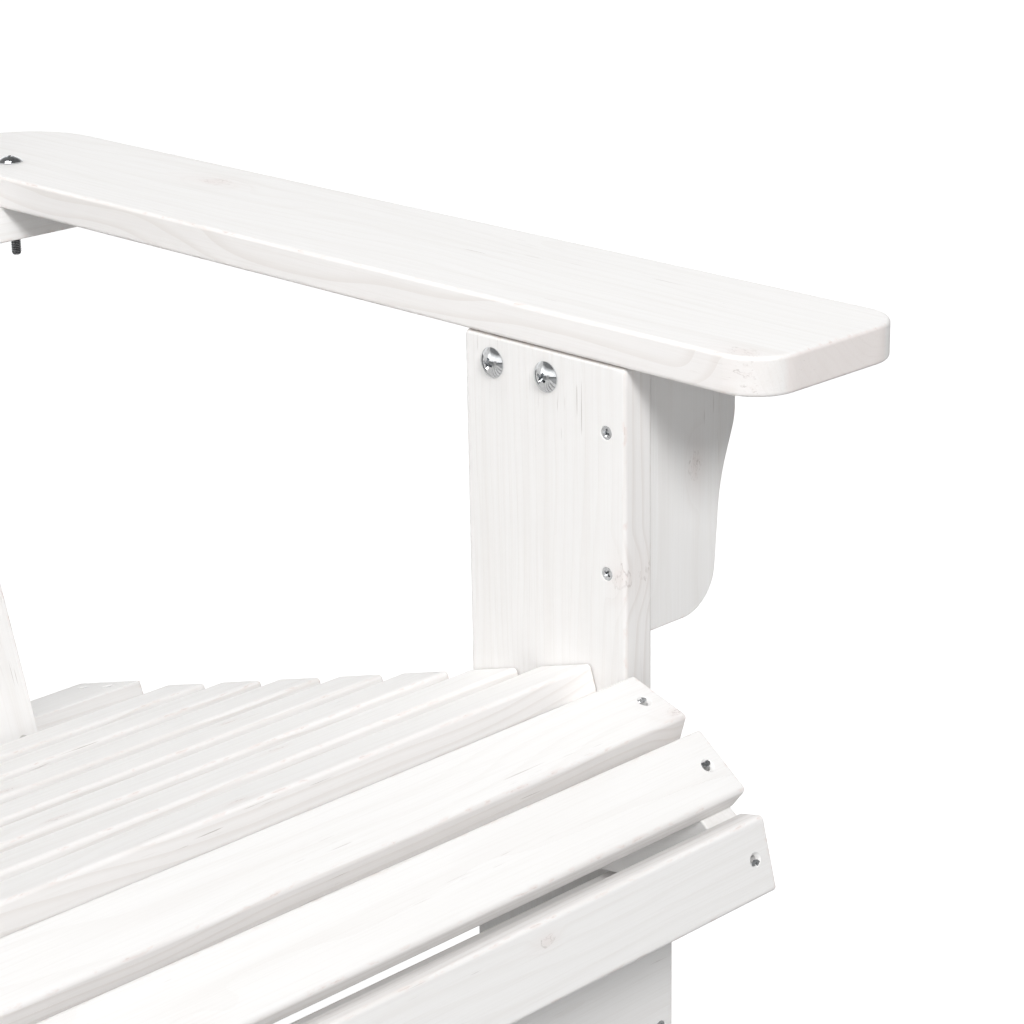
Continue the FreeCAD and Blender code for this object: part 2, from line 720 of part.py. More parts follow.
for slat_name, (facet_start, facet_angle, facet_gap) in NOSE_SLATS.items():
    slat(slat_name, slat_outline(facet_start, facet_angle, facet_gap, FORWARD), nose_drill)

lower_rail = board(
    "back_lower_rail",
    [
        up_the_back("-cross_thick / cos(recline - seat_slope)", "0"),
        walk(CREST, "seat_slope", f"{SEAT_RUN} + lower_rail_width", "0", REARWARD),
        walk(CREST, "seat_slope", f"{SEAT_RUN} + lower_rail_width", "cross_thick", REARWARD),
        BACK_FOOT,
    ],
    ["slat_end_round"] * 4,
    "seat_width",
    SIDE,
    (f"-{LEG_INNER}", in_depth("0"), "0"),
    "slat_end_round",
)
drilled("back_lower_rail", lower_rail, [lower_drill, back_drills["lower"]])

arm_rail_rear = f"({ARM_RAIL_FRONT} + arm_rail_width)"
arm_rail = board(
    "rear_arm_rail",
    [
        (back_at_height(f"({ARM_UNDER} - cross_thick)"), f"{ARM_UNDER} - cross_thick"),
        (arm_rail_rear, f"{ARM_UNDER} - cross_thick"),
        (arm_rail_rear, ARM_UNDER),
        (back_at_height(ARM_UNDER), ARM_UNDER),
    ],
    ["slat_end_round"] * 4,
    "2 * (seat_width / 2 + arm_rail_reach)",
    SIDE,
    ("-(seat_width / 2 + arm_rail_reach)", in_depth("0"), "0"),
    "slat_end_round",
)
drilled("rear_arm_rail", arm_rail, [rear_drill, insert_drill, back_drills["middle"]])


def in_the_back(name, corners, rounds, thick, behind):
    """A board drawn in the plane of the back, a distance behind the slats' rear faces."""
    setback, height = up_the_back("0", behind)
    lie = Rotation(Vector(1, 0, 0), 90 - value("recline"))
    blank = board(name, corners, rounds, thick, lie, ("0", in_depth(setback), height), "slat_end_round")
    blank.setExpression("Placement.Rotation.Angle", sized("90 - recline"))
    return blank


last_slat = BACK_SLATS - 1
last_screw = f"{slat_middle(last_slat)} + back_slat_width / 2 - back_screw_inset"
upper_rail_end = f"({last_screw} + upper_rail_place * tan({slat_lean(last_slat)}) + upper_rail_reach)"
upper_rail = in_the_back(
    "back_upper_rail",
    rectangle(
        f"-{upper_rail_end}",
        upper_rail_end,
        "upper_rail_place - upper_rail_width / 2",
        "upper_rail_place + upper_rail_width / 2",
    ),
    ["upper_rail_round"] * 4,
    "cross_thick",
    "cross_thick",
)
drilled("back_upper_rail", upper_rail, [back_drills["upper"]])

for slat_place in range(BACK_SLATS):
    slat_name = f"back_slat_{slat_place + 1}"
    slat_rounds = ["slat_round", "slat_round", "back_slat_round", "back_slat_round"]
    slat_blank = in_the_back(slat_name, back_slat_outline(slat_place), slat_rounds, "back_slat_thick", "0")
    drilled(slat_name, slat_blank, list(back_drills.values()))

# ---------------------------------------------------------------- check and write

document.recompute()
for item in document.Objects:
    if {"Invalid", "Error"} & set(item.State):
        raise RuntimeError(f"{item.Label} did not build: {item.State}")
for piece in sub_parts:
    if piece.Shape.isNull() or not piece.Shape.isValid() or not piece.Shape.Solids:
        raise RuntimeError(f"{piece.Label} is not a valid solid")

os.makedirs(OUTPUT, exist_ok=True)
whole = FreeCAD.BoundBox()
for piece in sub_parts:
    piece.Shape.exportStep(os.path.join(OUTPUT, f"{piece.Label}.step"))
    whole.add(piece.Shape.BoundBox)
print(f"{len(sub_parts)} sub-parts, {whole.XLength:.1f} x {whole.YLength:.1f} x {whole.ZLength:.1f} mm")
print(f"box from {whole.XMin:.2f}, {whole.YMin:.2f}, {whole.ZMin:.2f} mm")
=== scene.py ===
"""Dresses the adirondack chair: painted fir boards, plated fasteners, floor, light and camera."""

import logging
import math
from collections.abc import Sequence
from dataclasses import dataclass, field
from enum import Enum
from typing import Any

import bmesh
import bpy
import numpy as np
from mathutils import Matrix, Vector


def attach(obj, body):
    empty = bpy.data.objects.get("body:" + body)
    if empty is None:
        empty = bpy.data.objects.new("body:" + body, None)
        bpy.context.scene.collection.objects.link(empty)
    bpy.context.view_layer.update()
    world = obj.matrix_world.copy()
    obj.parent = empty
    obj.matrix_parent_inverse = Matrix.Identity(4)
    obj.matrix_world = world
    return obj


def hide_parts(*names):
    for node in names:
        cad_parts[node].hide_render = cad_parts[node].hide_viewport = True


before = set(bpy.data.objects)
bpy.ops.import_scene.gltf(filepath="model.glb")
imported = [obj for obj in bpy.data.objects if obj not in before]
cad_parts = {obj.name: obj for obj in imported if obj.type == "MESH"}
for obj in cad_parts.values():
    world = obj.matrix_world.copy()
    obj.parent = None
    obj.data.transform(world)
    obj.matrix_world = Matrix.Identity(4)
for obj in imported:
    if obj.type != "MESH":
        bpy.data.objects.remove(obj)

log = logging.getLogger("adirondack")

MM = 0.001
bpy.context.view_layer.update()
SEAT_SLOPE = 17.7  # degrees that the seat falls rearwards
SEED_STEP = 0.618  # keeps the boards' stretches of grain far apart

Triple = tuple[float, float, float]


# ---- colour and node helpers


def linear(code: str) -> tuple[float, float, float, float]:
    """Turn an sRGB hex colour into linear values.

    Args:
        code: Six hex digits, such as "f4f2ee".

    Returns:
        Red, green, blue and an alpha of one.
    """
    channels = (int(code[at : at + 2], 16) / 255 for at in (0, 2, 4))
    red, green, blue = (c / 12.92 if c <= 0.04045 else ((c + 0.055) / 1.055) ** 2.4 for c in channels)
    return red, green, blue, 1.0


def add(tree: bpy.types.NodeTree, kind: str, inputs: dict[Any, Any] | None = None, **settings: Any) -> Any:
    """Add a node with its settings, and set or link its inputs.

    Args:
        tree: The node tree to add to.
        kind: The node's type, without its "ShaderNode" prefix.
        inputs: Input name or index, to a number, a tuple, a node or an output socket.
        settings: Attributes of the node.

    Returns:
        The new node.
    """
    made = tree.nodes.new(f"ShaderNode{kind}")
    for name, setting in settings.items():
        setattr(made, name, setting)
    for name, source in (inputs or {}).items():
        if isinstance(source, bpy.types.Node):
            source = source.outputs[0]
        if isinstance(source, bpy.types.NodeSocket):
            tree.links.new(source, made.inputs[name])
        else:
            made.inputs[name].default_value = source
    return made


def ramp(
    tree: Any, source: Any, start: float, end: float, low: float = 0, high: float = 1, easing: str = "LINEAR"
) -> Any:
    """Map a value from one range onto another, held level beyond both ends.

    Args:
        tree: The node tree.
        source: The value's node or socket.
        start: The value that gives the low result.
        end: The value that gives the high result.
        low: Result at the start.
        high: Result at the end.
        easing: How the result moves between them.

    Returns:
        The mapping node.
    """
    return add(tree, "MapRange", {0: source, 1: start, 2: end, 3: low, 4: high}, interpolation_type=easing)


def maths(tree: Any, operation: str, *values: Any) -> Any:
    """Work out one operation on up to three values, and return its node."""
    return add(tree, "Math", dict(enumerate(values)), operation=operation)


def empty_material(name: str) -> tuple[bpy.types.Material, Any, Any]:
    """Make a material that holds only a shader and its output.

    Args:
        name: The material's name.

    Returns:
        The material, its node tree and its Principled shader.
    """
    material = bpy.data.materials.new(name)
    material.use_nodes = True
    tree = material.node_tree
    tree.nodes.clear()
    shader = add(tree, "BsdfPrincipled")
    add(tree, "OutputMaterial", {"Surface": shader})
    return material, tree, shader


# ---- finishes


@dataclass(frozen=True)
class Knot:
    """A knot in a board, placed from the board's middle in millimetres."""

    along: float
    across: float
    size: float


@dataclass(frozen=True)
class Grain:
    """How one board was sawn: its own frame, its half sizes and where the tree's heart lay."""

    middle: Vector
    turn: Matrix
    half: Vector
    seed: float
    heart_across: float
    heart_deep: float
    knots: tuple[Knot, ...] = ()
    meets_a_board: bool = False


@dataclass(frozen=True)
class PaintedFir:
    """Planed solid fir under one thin coat of matt white paint.

    The grain prints through the paint as faint lines, fine brush and fibre marks run along the
    board, and the paint thins to a warm pink at knots, end grain and worn edges. Sizes of marks
    are in millimetres, as length, width and depth.
    """

    paint: str = "eeedec"
    latewood: str = "e3e0dd"
    thin_paint: str = "e4d9d5"
    bare_crack: str = "85766c"
    # painted shade: the colour laid on board ends where they meet another board, for the shadow in the joint
    joint_shade: str = "8c8782"
    ring_pitch: float = 4.5  # mm between growth rings of plantation fir
    ring_drift: Triple = (260.0, 55.0, 55.0)  # how far the rings run before they wander
    ring_swing: tuple[float, float] = (34.0, 26.0)  # mm of wander across and through the board
    fibre: Triple = (60.0, 0.9, 0.9)  # drawn coarse so that it shows
    brush_band: Triple = (240.0, 9.0, 9.0)
    check: Triple = (26.0, 0.8, 0.8)
    check_patch: Triple = (90.0, 22.0, 22.0)
    knock: Triple = (7.0, 2.6, 2.6)
    knot_rim: Triple = (9.0, 3.0, 3.0)
    knot_vein: Triple = (7.0, 2.4, 3.2)
    thinning: tuple[float, ...] = (0.1, 0.5, 0.7, 0.2, 0.25)  # at sides, ends, knocks, swirls and knots
    # share of that painted joint shade
    end_shade: float = 0.8
    darkness: Triple = (0.45, 0.5, 0.4)  # of checks, chips and cracks
    roughness: float = 0.52
    relief: float = 0.16  # mm of brushed-out grain under the paint
    seed_shift: tuple[float, float] = (913.0, 371.0)  # mm from one board's grain to the next one's

    def material(self, name: str, grain: Grain) -> bpy.types.Material:
        """Make the finish of one board.

        Args:
            name: The board's name.
            grain: How the board was sawn.

        Returns:
            The board's own material.
        """
        material, tree, shader = empty_material(f"painted_fir_{name}")
        place = add(tree, "TexCoord").outputs["Object"]
        sawn = {"Location": grain.middle, "Rotation": grain.turn.to_euler(), "Scale": (MM, MM, MM)}
        local = add(tree, "Mapping", {"Vector": place, **sawn}, vector_type="TEXTURE")
        shift = (grain.seed * self.seed_shift[0], grain.seed * self.seed_shift[1], 0.0)
        shifted = add(tree, "VectorMath", {0: local, 1: shift})
        axes = add(tree, "SeparateXYZ", {0: local})
        rings, swirl = self._rings(tree, shifted, axes, grain)
        fibres = self._streaks(tree, shifted, self.fibre, 3.0)
        bands = self._streaks(tree, shifted, self.brush_band, 1.0)
        edge, end, sides = self._edges(tree, axes, grain)
        knots, cracks = self._knots(tree, shifted, axes, grain)
        worn = self._worn_places(tree, shifted, edge)
        checks = self._checks(tree, shifted)

        # The rings show most on the narrow sides, where the brush leaves less paint.
        print_through = maths(tree, "MULTIPLY_ADD", sides, 0.5, 0.2)
        colour = self._glazed(tree, linear(self.paint), self.latewood, rings, print_through)
        for streaks, start, share in ((fibres, 0.46, 0.4), (bands, 0.5, 0.35)):
            colour = self._glazed(tree, colour, self.latewood, ramp(tree, streaks, start, 0.8), share)
        # Thinned paint warms the places that a brush misses and hands rub.
        for mask, share in zip((sides, end, worn, swirl, knots), self.thinning):
            colour = self._glazed(tree, colour, self.thin_paint, mask, share)
        # Painted shade: the ends of a board that meets another are darkened, standing in for the shadow in
        # the joint.
        if grain.meets_a_board:
            colour = self._glazed(tree, colour, self.joint_shade, end, self.end_shade)
        chips = ramp(tree, worn, 0.82, 0.98, high=0.6)
        for mask, share in zip((checks, chips, cracks), self.darkness):
            colour = self._glazed(tree, colour, self.bare_crack, mask, share)

        # Raised grain and knots catch the light, and cracks and knocks sink below the paint.
        raised = ((rings, 0.55), (fibres, 0.55), (knots, 0.6))
        sunk = ((cracks, -1.4), (checks, -1.2), (worn, -0.7))
        height: Any = 0.0
        for mask, weight in raised + sunk:
            height = maths(tree, "MULTIPLY_ADD", mask, weight, height)
        bump = add(tree, "Bump", {"Strength": 0.55, "Distance": self.relief * MM, "Height": height})
        rough = ramp(tree, fibres, 0.3, 0.8, self.roughness - 0.05, self.roughness + 0.1)
        tree.links.new(colour, shader.inputs["Base Color"])
        tree.links.new(rough.outputs[0], shader.inputs["Roughness"])
        tree.links.new(bump.outputs[0], shader.inputs["Normal"])
        shader.inputs["IOR"].default_value = 1.5
        shader.inputs["Specular IOR Level"].default_value = 0.35
        return material

    def _glazed(self, tree: Any, under: Any, code: str, mask: Any, share: Any) -> Any:
        """Lay a colour over another by a share of a mask, and return the new colour's socket."""
        amount = maths(tree, "MULTIPLY", mask, share)
        return add(tree, "Mix", {0: amount, 6: under, 7: linear(code)}, data_type="RGBA").outputs[2]

    def _streaks(self, tree: Any, place: Any, size: Triple, detail: float, rough: float = 0.55) -> Any:
        """Noise drawn out along the board.

        Args:
            tree: The node tree.
            place: Board coordinates in millimetres.
            size: Length, width and depth of one streak in millimetres.
            detail: Octaves of finer noise.
            rough: How strong the finer noise is.

        Returns:
            The noise's node.
        """
        squeeze = {0: place, 1: tuple(1 / side for side in size)}
        squeezed = add(tree, "VectorMath", squeeze, operation="MULTIPLY")
        noise = {"Vector": squeezed, "Scale": 1.0, "Detail": detail, "Roughness": rough}
        return add(tree, "TexNoise", noise)

    def _rings(self, tree: Any, place: Any, axes: Any, grain: Grain) -> tuple[Any, Any]:
        """Growth rings round the heart of the tree, bent round the knots.

        Args:
            tree: The node tree.
            place: The shifted board coordinates.
            axes: The board's own coordinates, split up.
            grain: How the board was sawn.

        Returns:
            The latewood mask, and a mask of the swirl about the knots.
        """
        wander = self._streaks(tree, place, self.ring_drift, 2.0, 0.45)
        split = add(tree, "SeparateXYZ", {0: wander.outputs["Color"]})
        offsets = []
        for axis, heart in enumerate((grain.heart_across, grain.heart_deep), 1):
            moved = maths(tree, "SUBTRACT", axes.outputs[axis], heart)
            swing = self.ring_swing[axis - 1]
            offsets.append(maths(tree, "MULTIPLY_ADD", split.outputs[axis - 1], swing, moved))
        both = add(tree, "CombineXYZ", {1: offsets[0], 2: offsets[1]})
        reach = add(tree, "VectorMath", {0: both}, operation="LENGTH").outputs["Value"]
        swirl: Any = 0.0
        for knot in grain.knots:
            away = self._distance(tree, axes, knot, 0.45)
            bulge = ramp(tree, away, 0.0, knot.size * 3.2, 1.0, 0.0, "SMOOTHERSTEP")
            reach = maths(tree, "MULTIPLY_ADD", bulge, knot.size * 1.4, reach)
            swirl = maths(tree, "MAXIMUM", swirl, bulge)
        turns = maths(tree, "DIVIDE", reach, self.ring_pitch)
        late = ramp(tree, maths(tree, "FRACT", turns), 0.55, 0.97, easing="SMOOTHSTEP")
        return late, swirl

    def _distance(self, tree: Any, axes: Any, knot: Knot, squash: float) -> Any:
        """Distance from a knot over the board's face, drawn out along the grain.

        Args:
            tree: The node tree.
            axes: The board's own coordinates, split up.
            knot: The knot.
            squash: How much a step along the grain counts against a step across it.

        Returns:
            The distance's socket, in millimetres.
        """
        along = maths(tree, "SUBTRACT", axes.outputs[0], knot.along)
        along = maths(tree, "MULTIPLY", along, squash)
        across = maths(tree, "SUBTRACT", axes.outputs[1], knot.across)
        both = add(tree, "CombineXYZ", {0: along, 1: across})
        return add(tree, "VectorMath", {0: both}, operation="LENGTH").outputs["Value"]

    def _knots(self, tree: Any, place: Any, axes: Any, grain: Grain) -> tuple[Any, Any]:
        """The knots' own hard wood and the small drying cracks in them.

        Args:
            tree: The node tree.
            place: The shifted board coordinates.
            axes: The board's own coordinates, split up.
            grain: How the board was sawn.

        Returns:
            A mask of the knots and a mask of their cracks.
        """
        knots: Any = 0.0
        rims: Any = 0.0
        ragged = self._streaks(tree, place, self.knot_rim, 3.0)
        for knot in grain.knots:
            away = self._distance(tree, axes, knot, 0.6)
            away = maths(tree, "MULTIPLY_ADD", ragged, knot.size * 1.6, away)
            spot = ramp(tree, away, knot.size * 1.2, knot.size * 1.9, 1.0, 0.0, "SMOOTHSTEP")
            knots = maths(tree, "MAXIMUM", knots, spot)
            rim = maths(tree, "COMPARE", away, knot.size * 1.75, 0.28)
            rims = maths(tree, "MAXIMUM", rims, rim)
        veins = self._streaks(tree, place, self.knot_vein, 2.0)
        thin = maths(tree, "ABSOLUTE", maths(tree, "SUBTRACT", veins, 0.5))
        cracks = maths(tree, "MULTIPLY", ramp(tree, thin, 0.004, 0.018, 0.8, 0.0), knots)
        open_rims = maths(tree, "MULTIPLY", rims, ramp(tree, veins, 0.47, 0.62, high=0.6))
        return knots, maths(tree, "MAXIMUM", cracks, open_rims)

    def _checks(self, tree: Any, place: Any) -> Any:
        """Sparse short cracks along the grain that the paint didn't fill.

        Args:
            tree: The node tree.
            place: The shifted board coordinates.

        Returns:
            The mask's node.
        """
        slits = ramp(tree, self._streaks(tree, place, self.check, 1.0), 0.7, 0.76)
        patches = ramp(tree, self._streaks(tree, place, self.check_patch, 0.0), 0.66, 0.74)
        return maths(tree, "MULTIPLY", slits, patches)

    def _edges(self, tree: Any, axes: Any, grain: Grain) -> tuple[Any, Any, Any]:
        """Nearness to the board's long edges, its end grain and its narrow sides.

        Args:
            tree: The node tree.
            axes: The board's own coordinates, split up.
            grain: How the board was sawn.

        Returns:
            A mask that rises to one at an arris, and masks of the sawn ends and the narrow sides.
        """
        depths = []
        for axis in range(3):
            spread = maths(tree, "ABSOLUTE", axes.outputs[axis])
            depths.append(maths(tree, "SUBTRACT", grain.half[axis], spread))
        low = maths(tree, "MINIMUM", depths[1], depths[2])
        high = maths(tree, "MAXIMUM", depths[1], depths[2])
        nearest = maths(tree, "MAXIMUM", low, maths(tree, "MINIMUM", high, depths[0]))
        edge = ramp(tree, nearest, 0.2, 2.6, 1.0, 0.0, "SMOOTHSTEP")
        end = ramp(tree, depths[0], 0.3, 1.0, 1.0, 0.0)
        sides = ramp(tree, depths[1], 0.4, 1.6, 1.0, 0.0)
        return edge, end, sides

    def _worn_places(self, tree: Any, place: Any, edge: Any) -> Any:
        """Mask of small knocks along the edges, where the paint has thinned or chipped."""
        knocks = self._streaks(tree, place, self.knock, 3.0)
        return maths(tree, "MULTIPLY", ramp(tree, knocks, 0.54, 0.64), edge)


@dataclass(frozen=True)
class PlatedSteel:
    """Cold-headed steel under a thin bright plating.

    Smooth enough to mirror the room, with faint turning marks and cloudy patches in the plating.
    """

    name: str
    plating: str
    roughness: float
    cloud: float  # how far the roughness wanders
    mark_pitch: float  # mm between handling marks
    cloud_pitch: float = 6.0  # marks to a cloud in the plating
    dulling: float = 0.72  # how much light a handling mark gives back

    def material(self) -> bpy.types.Material:
        """Make the finish.

        Returns:
            The plated material.
        """
        material, tree, shader = empty_material(self.name)
        place = add(tree, "TexCoord").outputs["Object"]
        marks_scale = 1 / (self.mark_pitch * MM)
        clouds_scale = 1 / (self.mark_pitch * self.cloud_pitch * MM)
        clouds = add(tree, "TexNoise", {"Vector": place, "Scale": clouds_scale, "Detail": 2.0})
        marks = add(tree, "TexNoise", {"Vector": place, "Scale": marks_scale, "Detail": 4.0})
        rough = ramp(tree, clouds, 0.3, 0.7, self.roughness, self.roughness + self.cloud)
        bright = linear(self.plating)
        dull = tuple(channel * self.dulling for channel in bright[:3]) + (1.0,)
        share = ramp(tree, marks, 0.45, 0.8)
        colour = add(tree, "Mix", {0: share, 6: bright, 7: dull}, data_type="RGBA")
        bump = add(tree, "Bump", {"Strength": 0.12, "Distance": 0.02 * MM, "Height": marks})
        tree.links.new(colour.outputs[2], shader.inputs["Base Color"])
        tree.links.new(rough.outputs[0], shader.inputs["Roughness"])
        tree.links.new(bump.outputs[0], shader.inputs["Normal"])
        shader.inputs["Metallic"].default_value = 1.0
        return material


class Finish(Enum):
    """The plated finishes, each with the record's slot that it stands for."""

    BOLT = ("chromed_bolt", PlatedSteel("bright_chromed_steel", "d2d4d6", 0.06, 0.06, 1.5))
    NUT = ("zinc_nut", PlatedSteel("zinc_plated_nut_steel", "c0c3c6", 0.24, 0.15, 1.2))
    SCREW = ("zinc_screw", PlatedSteel("zinc_plated_screw_steel", "cfd1d3", 0.20, 0.14, 0.8))
    INSERT = ("brass_insert", PlatedSteel("turned_brass", "c2a260", 0.22, 0.12, 1.0))
    BRAD = ("bright_brad", PlatedSteel("drawn_brad_steel", "8f9092", 0.30, 0.12, 0.8))
    # painted shade: dark steel on the thread's root faces stands in for the shade in its grooves
    ROOT_SHADE = ("chromed_bolt", PlatedSteel("thread_root_painted_shade_steel", "55565a", 0.35, 0.15, 0.6))

    @property
    def slot(self) -> str:
        """The record's material slot."""
        return self.value[0]

    @property
    def steel(self) -> PlatedSteel:
        """The finish itself."""
        return self.value[1]


# ---- boards


@dataclass
class Board:
    """One CAD board that stays as it is and gets its own painted fir.

    The grain runs along one direction of the board, with a second direction across its face.
    """

    node: str
    along: Triple
    across: Triple
    knots: tuple[Knot, ...] = ()
    heart: tuple[float, float] = (26.0, -48.0)
    meets_a_board: bool = False

    def dress(self, wood: PaintedFir, number: int) -> None:
        """Give the board its finish.

        Args:
            wood: The paint and timber.
            number: The board's number, which picks its stretch of grain.
        """
        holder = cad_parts[self.node]
        along = Vector(self.along).normalized()
        across = Vector(self.across)
        across = (across - along * across.dot(along)).normalized()
        deep = along.cross(across)
        turn = Matrix((along, across, deep)).transposed()
        points = np.array([vertex.co for vertex in holder.data.vertices]) @ np.array(turn)
        low, high = points.min(axis=0), points.max(axis=0)
        middle = turn @ Vector((low + high) / 2)
        half = Vector((high - low) / 2 / MM)
        heart = (self.heart[0] if number % 2 else -self.heart[0], self.heart[1])
        grain = Grain(middle, turn, half, number * SEED_STEP, *heart, self.knots, self.meets_a_board)
        holder.data.materials.clear()
        holder.data.materials.append(wood.material(self.node, grain))
        log.info("dressed %s in painted fir", self.node)


X_AXIS = (1.0, 0.0, 0.0)
Y_AXIS = (0.0, 1.0, 0.0)
Z_AXIS = (0.0, 0.0, 1.0)


def down_slope(angle: float) -> Triple:
    """Direction rearwards down a slope of some degrees; a negative slope rises."""
    return 0.0, math.cos(math.radians(angle)), -math.sin(math.radians(angle))


@dataclass
class BoardGroup:
    """The boards of one sub-assembly, cut from the same timber and painted alike."""

    wood: PaintedFir

    def boards(self) -> list[Board]:
        """List the group's boards."""
        raise NotImplementedError

    def dress(self, dressed: int) -> int:
        """Give every board of the group its finish.

        Args:
            dressed: How many boards are dressed already, so that no two share their grain.

        Returns:
            How many are dressed now.
        """
        for board in self.boards():
            dressed += 1
            board.dress(self.wood, dressed)
        return dressed


@dataclass
class SeatBoards(BoardGroup):
    """Seat slats on their slope, and the three slats that round off the nose at their angles."""

    slats: int = 7
    slats_at_the_legs: int = 2
    seat_knots: dict[int, tuple[Knot, ...]] = field(
        default_factory=lambda: {
            1: (Knot(46.0, -9.0, 3.2), Knot(-150.0, 6.0, 4.0)),
            2: (Knot(120.0, 8.0, 2.6),),
            3: (Knot(22.0, -10.0, 3.0), Knot(-90.0, 4.0, 3.4)),
            4: (Knot(168.0, 6.0, 2.2),),
            5: (Knot(60.0, -8.0, 3.0),),
            7: (Knot(-30.0, 7.0, 3.4),),
        }
    )
    nose: dict[str, tuple[float, tuple[Knot, ...]]] = field(
        default_factory=lambda: {
            "upper": (16.8, (Knot(247.0, -13.0, 3.6), Knot(-120.0, 5.0, 3.0))),
            "middle": (36.7, (Knot(-60.0, -12.0, 3.6),)),
            "lower": (75.5, (Knot(112.0, 9.0, 2.4), Knot(-140.0, -6.0, 4.0))),
        }
    )

    def boards(self) -> list[Board]:
        """List the seat's boards, then the nose's.

        Returns:
            The boards.
        """
        across = down_slope(SEAT_SLOPE)
        listed = []
        for place in range(1, self.slats + 1):
            knots = self.seat_knots.get(place, ())
            meets = place <= self.slats_at_the_legs
            listed.append(Board(f"seat_slat_{place}", X_AXIS, across, knots, (30.0, -36.0), meets))
        for name, (angle, knots) in self.nose.items():
            listed.append(Board(f"nose_slat_{name}", X_AXIS, down_slope(-angle), knots, (36.0, -70.0)))
        return listed


@dataclass
class BackBoards(BoardGroup):
    """Fanned back slats and the rails that hold them."""

    recline: float = 21.7
    fan_step: float = 1.3
    slats: int = 5

    def boards(self) -> list[Board]:
        """List the back slats, then their rails.

        Returns:
            The boards.
        """
        lean_back = math.radians(self.recline)
        up = Vector((0.0, math.sin(lean_back), math.cos(lean_back)))
        listed = []
        for place in range(self.slats):
            lean = math.radians((place - self.slats // 2) * self.fan_step)
            along = up * math.cos(lean) + Vector(X_AXIS) * math.sin(lean)
            across = Vector(X_AXIS) * math.cos(lean) - up * math.sin(lean)
            low_knot = Knot(-210.0 + 95.0 * place, 14.0 - 9.0 * place, 6.5)
            knots = (low_knot, Knot(180.0 - 60.0 * place, -12.0, 5.0))
            name = f"back_slat_{place + 1}"
            listed.append(Board(name, tuple(along), tuple(across), knots, (18.0, -60.0)))
        listed.append(Board("back_upper_rail", X_AXIS, tuple(up), (Knot(70.0, 8.0, 6.0),)))
        listed.append(Board("back_lower_rail", X_AXIS, down_slope(SEAT_SLOPE), (Knot(-120.0, 8.0, 5.0),)))
        listed.append(Board("rear_arm_rail", X_AXIS, Y_AXIS, (Knot(150.0, -10.0, 6.0),)))
        return listed


@dataclass
class SideBoards(BoardGroup):
    """Legs, armrests, brackets, cleats, side rails and the front cross board."""

    def boards(self) -> list[Board]:
        """List the boards of both sides and the front.

        Returns:
            The boards.
        """
        listed = []
        for side, hand in (("left", 1.0), ("right", -1.0)):
            arm_knots = (Knot(-311.0, -43.0 * hand, 5.5), Knot(120.0, 20.0 * hand, 7.0))
            listed.append(Board(f"armrest_{side}", Y_AXIS, X_AXIS, arm_knots, (62.0 * hand, -40.0)))
            leg_knots = (Knot(165.0, -47.0, 4.0), Knot(-120.0, 12.0, 8.0))
            listed.append(Board(f"front_leg_{side}", Z_AXIS, Y_AXIS, leg_knots, (70.0, -30.0), True))
            bracket_knots = (Knot(8.0, 2.0 * hand, 4.2),)
            listed.append(Board(f"arm_bracket_{side}", Z_AXIS, X_AXIS, bracket_knots, (8.0 * hand, -34.0)))
            listed.append(Board(f"arm_cleat_{side}", Y_AXIS, X_AXIS))
            rail_knots = (Knot(-120.0, 14.0, 9.0), Knot(210.0, -22.0, 7.0))
            along = down_slope(SEAT_SLOPE)
            listed.append(Board(f"side_rail_{side}", along, Z_AXIS, rail_knots, (20.0, -90.0)))
        front_knots = (Knot(140.0, 18.0, 6.0), Knot(-90.0, -20.0, 8.0))
        listed.append(Board("front_rail", X_AXIS, Z_AXIS, front_knots, (10.0, -70.0)))
        return listed


# ---- fasteners


RIM_SHARE = 0.98  # of a head's widest radius, where its rim begins
CORE_SHARE = 0.3  # of a thread's size, inside which nothing is thread
SHARP_EDGE = math.radians(32)


def solid_clouds(node: str) -> list[np.ndarray]:
    """Split a CAD node into the points of its separate solids.

    Args:
        node: The CAD node's name.

    Returns:
        One array of points, in metres, for each solid.
    """
    mesh = bmesh.new()
    mesh.from_mesh(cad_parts[node].data)
    bmesh.ops.remove_doubles(mesh, verts=mesh.verts, dist=2e-6)
    left = set(mesh.verts)
    clouds = []
    while left:
        reached = [left.pop()]
        cloud = []
        while reached:
            vertex = reached.pop()
            cloud.append(vertex.co[:])
            for edge in vertex.link_edges:
                other = edge.other_vert(vertex)
                if other in left:
                    left.remove(other)
                    reached.append(other)
        clouds.append(np.array(cloud))
    mesh.free()
    return clouds


